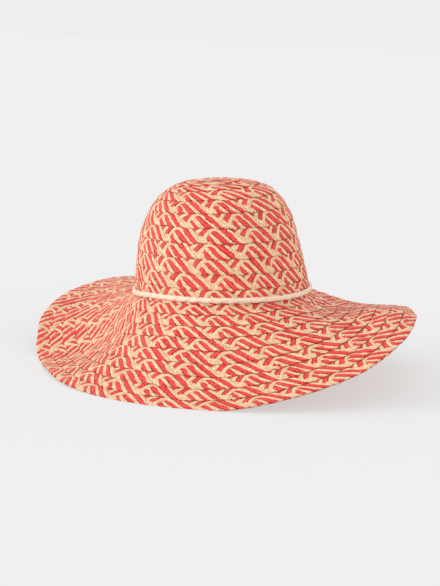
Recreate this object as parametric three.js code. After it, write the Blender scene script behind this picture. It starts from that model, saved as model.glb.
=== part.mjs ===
// Soft straw sun hat resting on its own wavy rim.
// One flat plait is wound in a spiral from the tip of the crown to the rim.
// The outer edge of every turn laps over the turn below it like a shingle.
// Lengths are in millimetres, angles in degrees, +Z is up.
// Azimuths run anticlockwise seen from above: 0 right, 90 back, 180 left, 270 front.
import * as THREE from 'three';

// Head opening and crown
const HEAD_WIDTH = 172;
const HEAD_DEPTH = 190;
const HEAD_TURN_DEG = 8;
const CROWN_HEIGHT = 106;
const CROWN_TAPER = 0.1;
const CROWN_SQUARENESS = 3.4;
const ROOT_FLARE_SHARE = 0.027;
const ROOT_FLARE_REACH = 14;
const ROOT_SHIFT = 1.6;
const CROWN_SHIFT = -0.4;
const TOP_SHIFT = 2.2;

// Tip of the spiral, as shares of the way from the tip down to the head opening
const TIP_SHIFT_X = -0.12;
const TIP_SHIFT_Y = 0.03;
const TIP_FADE = 8;

// Sway of the crown's rows, lowest at the right front, and the shares of the
// way down over which it fades out at the tip and at the head opening
const ROW_SWAY = 2.4;
const ROW_SWAY_FROM_DEG = 262;
const SWAY_FADE = { tip: 0.3, root: 0.07 };

// Plait rows
const CROWN_ROW = 14.4;
const BRIM_ROW = 13.8;
const BRIM_ROWS = 9;
const ROOT_LAG = 2.5;
const WALL = 2;
const LAP_STEP = 0.9;

// End of the plait at the rim, tapered over an arc at the back
const END_START_DEG = 130;
const END_ARC_DEG = 70;

// Cord round the crown
const CORD_DIAMETER = 6;
const CORD_SIDES = 8;

// How the hat stands
const REST_LEAN_DEG = 2.5;
const REST_FLAT = 0.8;

// Clearance between separate pieces, and fineness
const PIECE_GAP = 0.3;
const SECTIONS = 64;
const SHORTEST_EDGE = 0.7;

// Fall of the brim below level, in degrees, at five stations of each section.
// The stations are at these shares of the brim's reach from crown to rim.
const STATION_SHARES = { root: 1 / 9, inner: 3 / 9, middle: 5 / 9, outer: 7 / 9, edge: 1 };
const BRIM_SECTIONS = [
  { at: 0, root: 36, inner: 4, middle: -4, outer: 13, edge: 36 },
  { at: 22.5, root: 18, inner: 20, middle: 18, outer: 12, edge: 16 },
  { at: 45, root: 43, inner: 44, middle: 44, outer: 40, edge: 35 },
  { at: 67.5, root: 42, inner: 43, middle: 42, outer: 40, edge: 36 },
  { at: 90, root: 24, inner: 24, middle: 24, outer: 22, edge: 22 },
  { at: 112.5, root: 10, inner: 8, middle: 8, outer: 6, edge: 6 },
  { at: 135, root: 18, inner: 14, middle: 10, outer: 6, edge: 2 },
  { at: 157.5, root: 40, inner: 30, middle: 20, outer: 8, edge: 0 },
  { at: 180, root: 63, inner: 52, middle: 34, outer: 17, edge: 6 },
  { at: 202.5, root: 66, inner: 54, middle: 33, outer: 14, edge: 5 },
  { at: 225, root: 51, inner: 44, middle: 35, outer: 25, edge: 17 },
  { at: 247.5, root: 38, inner: 39, middle: 43, outer: 39, edge: 27 },
  { at: 270, root: 37, inner: 44, middle: 49, outer: 37, edge: 22 },
  { at: 292.5, root: 28, inner: 36, middle: 40, outer: 28, edge: 16 },
  { at: 315, root: 22, inner: 18, middle: 21, outer: 16, edge: 12 },
  { at: 337.5, root: 44, inner: -5, middle: -8, outer: 6, edge: 24 },
];

// How far the cord's centre line sits below the head opening, by section
const CORD_SEAT = [
  { at: 0, below: 1.4 },
  { at: 45, below: 0 },
  { at: 90, below: -1 },
  { at: 135, below: 1 },
  { at: 180, below: 3.5 },
  { at: 225, below: -1.8 },
  { at: 270, below: -2.8 },
  { at: 315, below: -2 },
];

const STRAW_COLOUR = 0xe9a184;
const CORD_COLOUR = 0xf3e4c8;

const sections = Math.max(24, Math.round(SECTIONS));
const cordSides = Math.max(6, Math.round(CORD_SIDES));
const toRad = Math.PI / 180;

function clamp(value, low, high) {
  return Math.min(high, Math.max(low, value));
}

// A value of a ring of evenly spaced rows, joined smoothly from row to row
function ringValue(rows, column, azimuth) {
  const place = (((azimuth % 360) + 360) % 360) / 360 * rows.length;
  const k = Math.floor(place);
  const f = place - k;
  const at = (i) => rows[(i + rows.length) % rows.length][column];
  return at(k - 1) * (-0.5 * f + f * f - 0.5 * f ** 3)
    + at(k) * (1 - 2.5 * f * f + 1.5 * f ** 3)
    + at(k + 1) * (0.5 * f + 2 * f * f - 1.5 * f ** 3)
    + at(k + 2) * (-0.5 * f * f + 0.5 * f ** 3);
}

// Oval of the head opening: reach from its centre, and its outward direction
function headOval(azimuth) {
  const turn = HEAD_TURN_DEG * toRad;
  const a = HEAD_WIDTH / 2;
  const b = HEAD_DEPTH / 2;
  const t = azimuth * toRad - turn;
  const reach = 1 / Math.hypot(Math.cos(t) / a, Math.sin(t) / b);
  const gx = reach * Math.cos(t) / (a * a);
  const gy = reach * Math.sin(t) / (b * b);
  const g = Math.hypot(gx, gy);
  return {
    x: reach * Math.cos(azimuth * toRad),
    y: reach * Math.sin(azimuth * toRad),
    nx: (gx * Math.cos(turn) - gy * Math.sin(turn)) / g,
    ny: (gx * Math.sin(turn) + gy * Math.cos(turn)) / g,
  };
}

// Width of the crown at height z, as a share of the head opening
function crownShare(z) {
  const h = clamp(z / CROWN_HEIGHT, 0, 1);
  const dome = (1 - h ** CROWN_SQUARENESS) ** (1 / CROWN_SQUARENESS);
  const flare = ROOT_FLARE_SHARE * Math.exp(-z / ROOT_FLARE_REACH);
  return dome * ((1 - ROOT_FLARE_SHARE) * (1 - CROWN_TAPER * h) + flare);
}

function crownCentre(z) {
  const h = clamp(z / CROWN_HEIGHT, 0, 1);
  return CROWN_SHIFT + TOP_SHIFT * h * h + ROOT_SHIFT * Math.exp(-z / ROOT_FLARE_REACH);
}

// Height of the crown against the distance up its wall from the head opening
const domeSteps = 700;
const domeReach = (HEAD_WIDTH + HEAD_DEPTH) / 4;
const domeTable = [{ up: 0, z: 0 }];
for (let i = 1; i <= domeSteps; i += 1) {
  const z = CROWN_HEIGHT * Math.sin(i / domeSteps * Math.PI / 2) ** (2 / CROWN_SQUARENESS);
  const last = domeTable[i - 1];
  const dr = (crownShare(z) - crownShare(last.z)) * domeReach;
  domeTable.push({ up: last.up + Math.hypot(dr, z - last.z), z });
}
const domeLength = domeTable[domeSteps].up;

function domeHeight(up) {
  let low = 0;
  let high = domeSteps;
  while (high - low > 1) {
    const mid = (low + high) >> 1;
    if (domeTable[mid].up > up) {
      high = mid;
    } else {
      low = mid;
    }
  }
  const a = domeTable[low];
  const b = domeTable[high];
  const f = clamp((up - a.up) / (b.up - a.up), 0, 1);
  return a.z + f * (b.z - a.z);
}

// Tilt of the crown's outward normal above level at height z
function crownNormalTilt(z, oval) {
  const step = 0.05;
  const z0 = clamp(z - step, 0, CROWN_HEIGHT);
  const z1 = clamp(z + step, 0, CROWN_HEIGHT);
  const scale = (crownShare(z1) - crownShare(z0)) / (z1 - z0);
  const shift = (crownCentre(z1) - crownCentre(z0)) / (z1 - z0);
  const outward = scale * (oval.x * oval.nx + oval.y * oval.ny) + shift * oval.nx;
  return Math.atan(-outward);
}

// Point of the crown at a distance along the wall, which is 0 at the head
// opening and negative up to the tip, lifted outward from the mid surface
function crownPoint(along, azimuth, lift) {
  const plain = clamp(1 + along / domeLength, 0, 1);
  const swayed = Math.sin((azimuth - ROW_SWAY_FROM_DEG) * toRad) * ROW_SWAY / domeLength;
  const fade = clamp(plain / SWAY_FADE.tip, 0, 1) * clamp((1 - plain) / SWAY_FADE.root, 0, 1);
  const share = plain + swayed * fade;
  const pull = (1 - share * share) ** TIP_FADE;
  const qx = share * Math.cos(azimuth * toRad) + TIP_SHIFT_X * pull;
  const qy = share * Math.sin(azimuth * toRad) + TIP_SHIFT_Y * pull;
  const turned = Math.atan2(qy, qx) / toRad;
  const z = domeHeight(domeLength * (1 - Math.min(1, Math.hypot(qx, qy))));
  const oval = headOval(turned);
  const tilt = crownNormalTilt(z, oval);
  const k = crownShare(z);
  return new THREE.Vector3(
    crownCentre(z) + oval.x * k + oval.nx * Math.cos(tilt) * lift,
    oval.y * k + oval.ny * Math.cos(tilt) * lift,
    z + Math.sin(tilt) * lift,
  );
}

// Rows reached by the rim, by azimuth: the spiral gains one row a turn, and
// the plait's end takes that row back over its tapered arc
function wrapFromFront(azimuth) {
  return ((((azimuth - 270 + 180) % 360) + 360) % 360) - 180;
}

function rimRows(azimuth) {
  let d = wrapFromFront(azimuth);
  const stop = END_START_DEG + END_ARC_DEG;
  if (d < stop - 360) {
    d += 360;
  }
  const t = clamp((d - END_START_DEG) / END_ARC_DEG, 0, 1);
  const eased = t * t * (3 - 2 * t);
  const low = BRIM_ROWS - Math.min(d, END_START_DEG) / 360;
  const gain = 1 - END_ARC_DEG / 360;
  return low + eased * gain;
}

// Slope of the brim by distance from the head opening, at one azimuth
function brimSlope(along, azimuth, startSlope) {
  const places = [0];
  const slopes = [startSlope];
  for (const name of Object.keys(STATION_SHARES)) {
    places.push(STATION_SHARES[name] * BRIM_ROWS * BRIM_ROW);
    slopes.push(ringValue(BRIM_SECTIONS, name, azimuth));
  }
  let k = 0;
  while (k < places.length - 2 && along > places[k + 1]) {
    k += 1;
  }
  const f = clamp((along - places[k]) / (places[k + 1] - places[k]), 0, 1);
  return slopes[k] + f * (slopes[k + 1] - slopes[k]);
}

// Running reach and drop of the brim at one azimuth
const columnStep = 0.6;
const columns = new Map();
function brimColumn(azimuth) {
  const key = azimuth.toFixed(4);
  if (!columns.has(key)) {
    const oval = headOval(azimuth);
    const start = 90 - crownNormalTilt(0, oval) / toRad;
    const steps = Math.ceil((BRIM_ROWS + 1) * BRIM_ROW / columnStep);
    const list = [{ reach: 0, drop: 0, slope: start }];
    for (let i = 1; i <= steps; i += 1) {
      const slope = brimSlope(i * columnStep, azimuth, start);
      const mid = (slope + list[i - 1].slope) / 2 * toRad;
      list.push({
        reach: list[i - 1].reach + Math.cos(mid) * columnStep,
        drop: list[i - 1].drop + Math.sin(mid) * columnStep,
        slope,
      });
    }
    columns.set(key, { oval, list });
  }
  return columns.get(key);
}

function brimPoint(along, azimuth, lift) {
  const { oval, list } = brimColumn(azimuth);
  const place = clamp(along / columnStep, 0, list.length - 1.001);
  const k = Math.floor(place);
  const f = place - k;
  const mix = (name) => list[k][name] + f * (list[k + 1][name] - list[k][name]);
  const slope = mix('slope') * toRad;
  const out = mix('reach') + Math.sin(slope) * lift;
  const centre = crownCentre(0);
  return new THREE.Vector3(
    centre + oval.x + oval.nx * out,
    oval.y + oval.ny * out,
    -mix('drop') + Math.cos(slope) * lift,
  );
}

// The hat leans a little to its left as it stands
function stand(point) {
  const lean = REST_LEAN_DEG * toRad;
  return new THREE.Vector3(
    point.x * Math.cos(lean) - point.z * Math.sin(lean),
    point.y,
    point.z * Math.cos(lean) + point.x * Math.sin(lean),
  );
}

// Distance along the wall of row line number w, where line 0 is the first
// one at the front below the cord and the lines above it are negative
function lineAlong(w) {
  if (w <= 0) {
    return ROOT_LAG + w * CROWN_ROW;
  }
  if (w >= 1) {
    return w * BRIM_ROW;
  }
  return ROOT_LAG + w * (BRIM_ROW - ROOT_LAG);
}

function lineOfAlong(along) {
  if (along <= ROOT_LAG) {
    return (along - ROOT_LAG) / CROWN_ROW;
  }
  if (along >= BRIM_ROW) {
    return along / BRIM_ROW;
  }
  return (along - ROOT_LAG) / (BRIM_ROW - ROOT_LAG);
}

// Lift of each face over one row, from its inner edge to its lapping edge
function faceLift(side, v) {
  return side * WALL / 2 + LAP_STEP * (v - 0.5);
}

// Share of its row that a cut edge has reached, counted from the last row
// line that lies far enough inside the cut. The part is the turn's fraction.
function cutShare(along, part) {
  let last = Math.floor(lineOfAlong(along) - part) + part;
  if (lineAlong(last) > along - SHORTEST_EDGE) {
    last -= 1;
  }
  return lineOfAlong(along) - last;
}

function turnPart(azimuth) {
  return ((((270 - azimuth) % 360) + 360) % 360) / 360;
}

// A wall of lapped spiral rows between two limits, as one closed surface
function spiralWall(pointAt, limits, tip) {
  const positions = [];
  const faces = [];
  const seen = new Map();
  const vertex = (p) => {
    const key = `${p.x.toFixed(4)} ${p.y.toFixed(4)} ${p.z.toFixed(4)}`;
    if (!seen.has(key)) {
      seen.set(key, positions.length);
      positions.push(p);
    }
    return seen.get(key);
  };
  const triangle = (a, b, c) => {
    if (a !== b && b !== c && c !== a) {
      faces.push(a, b, c);
    }
  };
  const quad = (a, b, c, d, side) => {
    if (side > 0) {
      triangle(a, c, b);
      triangle(a, d, c);
    } else {
      triangle(a, b, c);
      triangle(a, c, d);
    }
  };
  const azimuthOf = (n) => 270 - 360 * (((n % sections) + sections) % sections) / sections;
  const rings = { 1: { top: [], base: [] }, '-1': { top: [], base: [] } };
  for (const side of [1, -1]) {
    // Ends of the wall at every section
    const ends = [];
    for (let i = 0; i < sections; i += 1) {
      const azimuth = azimuthOf(i);
      const part = i / sections;
      const top = limits.top(azimuth, side);
      const base = limits.base(azimuth, side);
      const topLift = faceLift(side, tip ? 0.5 : cutShare(top, part));
      const baseLift = faceLift(side, cutShare(base, part));
      ends.push({
        top,
        base,
        topPoint: vertex(pointAt(top, azimuth, topLift)),
        basePoint: vertex(pointAt(base, azimuth, baseLift)),
      });
      rings[side].top.push(ends[i].topPoint);
      rings[side].base.push(ends[i].basePoint);
    }
    const firstLine = Math.floor(Math.min(...ends.map((e) => lineOfAlong(e.top)))) - 2;
    const lastLine = Math.ceil(Math.max(...ends.map((e) => lineOfAlong(e.base)))) + 1;
    const node = (n, v) => {
      const end = ends[((n % sections) + sections) % sections];
      const along = lineAlong(n / sections);
      const near = tip ? SHORTEST_EDGE * 3 : SHORTEST_EDGE;
      if (along < end.top + near) {
        return end.topPoint;
      }
      if (along > end.base - SHORTEST_EDGE) {
        return end.basePoint;
      }
      return vertex(pointAt(along, azimuthOf(n), faceLift(side, v)));
    };
    for (let n = firstLine * sections; n < lastLine * sections; n += 1) {
      const m = n + sections;
      quad(node(n, 0), node(m, 1), node(m + 1, 1), node(n + 1, 0), side);
      quad(node(n, 1), node(n, 0), node(n + 1, 0), node(n + 1, 1), side);
    }
  }
  for (let i = 0; i < sections; i += 1) {
    const j = (i + 1) % sections;
    quad(rings[1].base[i], rings[-1].base[i], rings[-1].base[j], rings[1].base[j], 1);
    if (!tip) {
      quad(rings[1].top[j], rings[-1].top[j], rings[-1].top[i], rings[1].top[i], 1);
    }
  }
  return { positions: positions.map(stand), faces };
}

// Lowest level of the rim's upper edge sets the surface that the hat rests on
function rimAlong(azimuth) {
  return rimRows(azimuth) * BRIM_ROW;
}

function restLevel() {
  let lowest = Infinity;
  for (let i = 0; i < sections; i += 1) {
    const azimuth = 360 * i / sections;
    const rim = rimAlong(azimuth);
    const lift = faceLift(1, cutShare(rim, turnPart(azimuth)));
    lowest = Math.min(lowest, stand(brimPoint(rim, azimuth, lift)).z);
  }
  return lowest + REST_FLAT;
}
const restZ = restLevel();

// Where a face of the brim ends: at the rim, or where it meets the surface
function rimEnd(azimuth, side) {
  const rim = rimAlong(azimuth);
  const heightAt = (along) => {
    const lift = faceLift(side, cutShare(along, turnPart(azimuth)));
    return stand(brimPoint(along, azimuth, lift)).z;
  };
  if (heightAt(rim) >= restZ) {
    return rim;
  }
  let low = rim - BRIM_ROW * 0.9;
  let high = rim;
  for (let i = 0; i < 40; i += 1) {
    const mid = (low + high) / 2;
    if (heightAt(mid) > restZ) {
      low = mid;
    } else {
      high = mid;
    }
  }
  return low;
}

const crownBody = spiralWall(
  crownPoint,
  { top: () => -domeLength, base: () => -PIECE_GAP / 2 },
  true,
);
const brimBody = spiralWall(
  brimPoint,
  { top: () => PIECE_GAP / 2, base: rimEnd },
  false,
);

// Closed cord laid round the foot of the crown
function cordBody() {
  const positions = [];
  const faces = [];
  const radius = CORD_DIAMETER / 2;
  const away = WALL / 2 + LAP_STEP / 2 + PIECE_GAP + radius;
  const centreAt = (azimuth) => {
    const along = ringValue(CORD_SEAT, 'below', azimuth);
    const wall = along < 0 ? crownPoint : brimPoint;
    return wall(along, azimuth, away);
  };
  for (let i = 0; i < sections; i += 1) {
    const azimuth = 360 * i / sections;
    const c = centreAt(azimuth);
    const before = centreAt(azimuth - 1);
    const after = centreAt(azimuth + 1);
    const ahead = after.sub(before).normalize();
    const out = new THREE.Vector3(c.x, c.y, 0).normalize();
    out.addScaledVector(ahead, -out.dot(ahead)).normalize();
    const up = new THREE.Vector3().crossVectors(out, ahead).normalize();
    for (let j = 0; j < cordSides; j += 1) {
      const a = 2 * Math.PI * (j + 0.5) / cordSides;
      const p = c.clone();
      p.addScaledVector(out, radius * Math.cos(a));
      p.addScaledVector(up, radius * Math.sin(a));
      positions.push(p);
    }
  }
  for (let i = 0; i < sections; i += 1) {
    const k = (i + 1) % sections;
    for (let j = 0; j < cordSides; j += 1) {
      const l = (j + 1) % cordSides;
      const a = i * cordSides + j;
      const b = k * cordSides + j;
      const c = k * cordSides + l;
      const d = i * cordSides + l;
      faces.push(a, b, c, a, c, d);
    }
  }
  return { positions: positions.map(stand), faces };
}

const bodies = { crown: crownBody, brim: brimBody, hat_cord: cordBody() };

// Stand the whole hat on z = 0 with its box centred on the origin
const box = new THREE.Box3();
for (const body of Object.values(bodies)) {
  for (const p of body.positions) {
    box.expandByPoint(p);
  }
}
const origin = new THREE.Vector3(
  (box.min.x + box.max.x) / 2,
  (box.min.y + box.max.y) / 2,
  box.min.z,
);

function addPiece(group, name, body, colour) {
  const flat = [];
  for (const p of body.positions) {
    flat.push(p.x - origin.x, p.y - origin.y, p.z - origin.z);
  }
  const geometry = new THREE.BufferGeometry();
  geometry.setAttribute('position', new THREE.Float32BufferAttribute(flat, 3));
  geometry.setIndex(body.faces);
  geometry.computeVertexNormals();
  const material = new THREE.MeshStandardMaterial({ color: colour, roughness: 0.75 });
  const mesh = new THREE.Mesh(geometry, material);
  mesh.name = name;
  group.add(mesh);
}

const group = new THREE.Group();
group.name = 'straw_sun_hat';
addPiece(group, 'crown', bodies.crown, STRAW_COLOUR);
addPiece(group, 'brim', bodies.brim, STRAW_COLOUR);
addPiece(group, 'hat_cord', bodies.hat_cord, CORD_COLOUR);

export default group;
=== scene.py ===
import math

import bpy
import numpy as np
from mathutils import Matrix, Vector

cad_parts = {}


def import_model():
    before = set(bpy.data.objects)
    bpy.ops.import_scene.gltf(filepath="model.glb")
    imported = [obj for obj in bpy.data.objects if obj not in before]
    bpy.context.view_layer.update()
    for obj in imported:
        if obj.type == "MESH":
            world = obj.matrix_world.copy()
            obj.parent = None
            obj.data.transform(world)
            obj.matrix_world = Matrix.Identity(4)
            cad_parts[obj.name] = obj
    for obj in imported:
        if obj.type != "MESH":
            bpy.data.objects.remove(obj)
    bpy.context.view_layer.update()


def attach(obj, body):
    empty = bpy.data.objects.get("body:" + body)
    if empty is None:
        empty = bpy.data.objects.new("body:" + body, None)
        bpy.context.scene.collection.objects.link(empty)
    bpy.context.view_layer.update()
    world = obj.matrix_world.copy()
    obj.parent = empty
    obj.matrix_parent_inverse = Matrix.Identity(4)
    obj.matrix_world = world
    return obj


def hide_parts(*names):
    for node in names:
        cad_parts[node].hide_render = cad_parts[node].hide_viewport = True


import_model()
rng = np.random.default_rng(20261201)

# Sizes and tables that part.mjs holds as well
HEAD_WIDTH = 172.0
HEAD_DEPTH = 190.0
HEAD_TURN = math.radians(8.0)
CROWN_HEIGHT = 106.0
CROWN_TAPER = 0.1
CROWN_SQUARENESS = 3.4
ROOT_FLARE_SHARE = 0.027
ROOT_FLARE_REACH = 14.0
ROOT_SHIFT = 1.6
CROWN_SHIFT = -0.4
TOP_SHIFT = 2.2
TIP_SHIFT = (-0.12, 0.03)
TIP_FADE = 8
ROW_SWAY = 2.4
ROW_SWAY_FROM = math.radians(262.0)
SWAY_FADE = (0.3, 0.07)
CROWN_ROW = 14.4
BRIM_ROW = 13.8
BRIM_ROWS = 9.0
ROOT_LAG = 2.5
LAP_STEP = 0.9
END_START = 130.0
END_ARC = 70.0
REST_LEAN = math.radians(2.5)
# What part.mjs takes off, so that the origin is the box's middle on the floor
ORIGIN = np.array([7.105663, 12.396155, -81.654022])

# Fall of the brim in degrees at five stations from crown to rim, every 22.5 degrees
STATION_SHARES = (1 / 9, 3 / 9, 5 / 9, 7 / 9, 1.0)
BRIM_SLOPES = np.array([
    (36, 4, -4, 13, 36),
    (18, 20, 18, 12, 16),
    (43, 44, 44, 40, 35),
    (42, 43, 42, 40, 36),
    (24, 24, 24, 22, 22),
    (10, 8, 8, 6, 6),
    (18, 14, 10, 6, 2),
    (40, 30, 20, 8, 0),
    (63, 52, 34, 17, 6),
    (66, 54, 33, 14, 5),
    (51, 44, 35, 25, 17),
    (38, 39, 43, 39, 27),
    (37, 44, 49, 37, 22),
    (28, 36, 40, 28, 16),
    (22, 18, 21, 16, 12),
    (44, -5, -8, 6, 24),
], float)
# How far the cord lies below the head opening, every 45 degrees
CORD_SEAT = np.array([1.4, 0, -1, 1, 3.5, -1.8, -2.8, -2], float)


def ring_value(rows, azimuth):
    """A value of evenly spaced rows round the hat, joined smoothly."""
    place = np.mod(azimuth, 360.0) / 360.0 * len(rows)
    k = np.floor(place).astype(int)
    f = place - k
    n = len(rows)
    return (rows[(k - 1) % n] * (-0.5 * f + f * f - 0.5 * f ** 3)
            + rows[k % n] * (1 - 2.5 * f * f + 1.5 * f ** 3)
            + rows[(k + 1) % n] * (0.5 * f + 2 * f * f - 1.5 * f ** 3)
            + rows[(k + 2) % n] * (-0.5 * f * f + 0.5 * f ** 3))


def head_oval(azimuth):
    a, b = HEAD_WIDTH / 2, HEAD_DEPTH / 2
    az = np.radians(azimuth)
    t = az - HEAD_TURN
    reach = 1 / np.hypot(np.cos(t) / a, np.sin(t) / b)
    gx = reach * np.cos(t) / (a * a)
    gy = reach * np.sin(t) / (b * b)
    g = np.hypot(gx, gy)
    c, s = math.cos(HEAD_TURN), math.sin(HEAD_TURN)
    return (reach * np.cos(az), reach * np.sin(az),
            (gx * c - gy * s) / g, (gx * s + gy * c) / g)


def crown_share(z):
    h = np.clip(z / CROWN_HEIGHT, 0, 1)
    n = CROWN_SQUARENESS
    dome = (1 - h ** n) ** (1 / n)
    flare = ROOT_FLARE_SHARE * np.exp(-z / ROOT_FLARE_REACH)
    return dome * ((1 - ROOT_FLARE_SHARE) * (1 - CROWN_TAPER * h) + flare)


def crown_centre(z):
    h = np.clip(z / CROWN_HEIGHT, 0, 1)
    return (CROWN_SHIFT + TOP_SHIFT * h * h
            + ROOT_SHIFT * np.exp(-z / ROOT_FLARE_REACH))


_i = np.arange(0, 2801) / 2800
DOME_Z = CROWN_HEIGHT * np.sin(_i * math.pi / 2) ** (2 / CROWN_SQUARENESS)
_r = crown_share(DOME_Z) * (HEAD_WIDTH + HEAD_DEPTH) / 4
DOME_UP = np.concatenate([[0], np.cumsum(np.hypot(np.diff(_r), np.diff(DOME_Z)))])
DOME_LENGTH = DOME_UP[-1]


def crown_tilt(z, oval):
    z0 = np.clip(z - 0.05, 0, CROWN_HEIGHT)
    z1 = np.clip(z + 0.05, 0, CROWN_HEIGHT)
    scale = (crown_share(z1) - crown_share(z0)) / (z1 - z0)
    shift = (crown_centre(z1) - crown_centre(z0)) / (z1 - z0)
    outward = scale * (oval[0] * oval[2] + oval[1] * oval[3]) + shift * oval[2]
    return np.arctan(-outward)


def crown_point(along, azimuth, lift):
    plain = np.clip(1 + along / DOME_LENGTH, 0, 1)
    fade = np.clip(plain / SWAY_FADE[0], 0, 1) * np.clip((1 - plain) / SWAY_FADE[1], 0, 1)
    share = plain + fade * np.sin(np.radians(azimuth) - ROW_SWAY_FROM) * ROW_SWAY / DOME_LENGTH
    pull = (1 - share * share) ** TIP_FADE
    qx = share * np.cos(np.radians(azimuth)) + TIP_SHIFT[0] * pull
    qy = share * np.sin(np.radians(azimuth)) + TIP_SHIFT[1] * pull
    turned = np.degrees(np.arctan2(qy, qx))
    up = DOME_LENGTH * (1 - np.minimum(1, np.hypot(qx, qy)))
    z = np.interp(up, DOME_UP, DOME_Z)
    oval = head_oval(turned)
    tilt = crown_tilt(z, oval)
    k = crown_share(z)
    out = np.cos(tilt) * lift
    return np.stack([crown_centre(z) + oval[0] * k + oval[2] * out,
                     oval[1] * k + oval[3] * out,
                     z + np.sin(tilt) * lift], -1)


COLUMN_STEP = 0.6
COLUMN_TURN = 0.5
_az = np.arange(0, 360, COLUMN_TURN)
_n = int(math.ceil((BRIM_ROWS + 1) * BRIM_ROW / COLUMN_STEP))
_al = np.arange(_n + 1) * COLUMN_STEP
_start = 90 - np.degrees(crown_tilt(np.zeros_like(_az), head_oval(_az)))
_pl = np.array((0,) + STATION_SHARES) * BRIM_ROWS * BRIM_ROW
_st = np.column_stack([_start] + [ring_value(BRIM_SLOPES[:, j], _az) for j in range(5)])
SLOPE = np.empty((len(_az), _n + 1))
for _k in range(len(_az)):
    SLOPE[_k] = np.interp(_al, _pl, _st[_k])
_mid = np.radians((SLOPE[:, 1:] + SLOPE[:, :-1]) / 2)
REACH = np.concatenate([np.zeros((len(_az), 1)), np.cumsum(np.cos(_mid), 1) * COLUMN_STEP], 1)
DROP = np.concatenate([np.zeros((len(_az), 1)), np.cumsum(np.sin(_mid), 1) * COLUMN_STEP], 1)


def _grid(table, along, azimuth):
    p = np.mod(azimuth, 360.0) / COLUMN_TURN
    i = np.floor(p).astype(int)
    f = p - i
    i %= len(_az)
    j = (i + 1) % len(_az)
    q = np.clip(along / COLUMN_STEP, 0, _n - 0.001)
    a = np.floor(q).astype(int)
    g = q - a
    return ((table[i, a] * (1 - g) + table[i, a + 1] * g) * (1 - f)
            + (table[j, a] * (1 - g) + table[j, a + 1] * g) * f)


def brim_point(along, azimuth, lift):
    slope = np.radians(_grid(SLOPE, along, azimuth))
    oval = head_oval(azimuth)
    out = _grid(REACH, along, azimuth) + np.sin(slope) * lift
    centre = crown_centre(np.zeros(1))[0]
    return np.stack([centre + oval[0] + oval[2] * out,
                     oval[1] + oval[3] * out,
                     -_grid(DROP, along, azimuth) + np.cos(slope) * lift], -1)


def wall_point(along, azimuth, lift):
    along, azimuth, lift = np.broadcast_arrays(along, azimuth, lift)
    c = crown_point(np.minimum(along, 0), azimuth, lift)
    b = brim_point(np.maximum(along, 0), azimuth, lift)
    return np.where((along < 0)[..., None], c, b)


def line_along(w):
    return np.where(w <= 0, ROOT_LAG + w * CROWN_ROW,
                    np.where(w >= 1, w * BRIM_ROW, ROOT_LAG + w * (BRIM_ROW - ROOT_LAG)))


def rim_rows(azimuth):
    d = np.mod(azimuth - 270 + 180, 360) - 180
    stop = END_START + END_ARC
    d = np.where(d < stop - 360, d + 360, d)
    t = np.clip((d - END_START) / END_ARC, 0, 1)
    eased = t * t * (3 - 2 * t)
    return BRIM_ROWS - np.minimum(d, END_START) / 360 + eased * (1 - END_ARC / 360)


def stand(p):
    c, s = math.cos(REST_LEAN), math.sin(REST_LEAN)
    return np.stack([p[..., 0] * c - p[..., 2] * s, p[..., 1],
                     p[..., 2] * c + p[..., 0] * s], -1)


def world(p):
    return (stand(p) - ORIGIN) * 0.001


# The plait's rows. A place on the plait is s, in turns of the spiral, and v,
# from 0 at the row's inner edge to 1 at its outer, lapping edge.
TIP_HOLE = 0.05
S_START = -12.1
S_END = 8.62
RIM_FROM = 7.44
RIM_FADE = 40.0
STEP_S = 1 / 720


def azimuth_of(s):
    return 270.0 - 360.0 * s


def wander(s):
    """Sideways drift of the seams, as hand-fed rows have."""
    return np.interp(s, S_GRID, WANDER_GRID)


def inner_line(s):
    return np.maximum(line_along(s) + wander(s), TIP_HOLE - DOME_LENGTH)


def outer_line(s):
    return np.minimum(line_along(s + 1) + wander(s + 1), rim_rows(azimuth_of(s)) * BRIM_ROW)


# The cord's line on the wall, and how far it squeezes the straw in
CORD_EASE = np.array([-1.0, 0, 0, 0.5, 0.6, 1.0, 1.1, 2.0])
SQUEEZE = np.array([3.2, 1.0, 0.8, 1.0, 3.6, 1.4, 0.7, 1.4])
SQUEEZE_REACH = 6.0
# Where the brim stands off the table of sections: how far its rim is longer and
# higher, and how far its middle is hollowed, in millimetres, with the azimuth and
# the spread in degrees
RIM_LONGER = ((-3.4, -8.0, 20.0), (1.0, -27.0, 10.0), (2.3, 176.0, 16.0), (-1.5, 165.0, 6.0),
              (-0.9, 288.0, 12.0), (1.2, 307.0, 6.0), (-1.2, 320.0, 6.0))
RIM_HIGHER = ((3.4, 13.0, 15.0), (-2.0, -9.0, 10.0), (1.3, 138.0, 16.0))
HOLLOW = (2.6, 12.0, 20.0)
HOLLOW_AT = (0.62, 0.28)
RIM_NOMINAL = 121.0
# Where the crown's wall stands in or out, in millimetres, by distance up from its
# foot, on the right and on the left
EASE_AT = (-26, -12, 0, 12, 28, 40, 56, 92, 112, 150)
EASE_RIGHT = (0, 0.8, 1.9, 2.0, 0.9, -0.4, -1.9, -1.4, -0.2, -0.3)
EASE_LEFT = (0, -0.8, -1.6, -1.5, -0.7, -0.2, 0.0, -0.5, -0.9, -0.7)
EASE_TOP = -0.75
EASE_TOP_FROM = 98.0
EASE_TOP_RUN = 30.0
# Sideways drift of the seams: height and length of each of its waves
DRIFTS = ((0.20, 61.0), (0.18, 23.0), (0.17, 11.0), (0.10, 5.3))


def cord_line(azimuth):
    return ring_value(CORD_SEAT, azimuth) + ring_value(CORD_EASE, azimuth)


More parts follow.
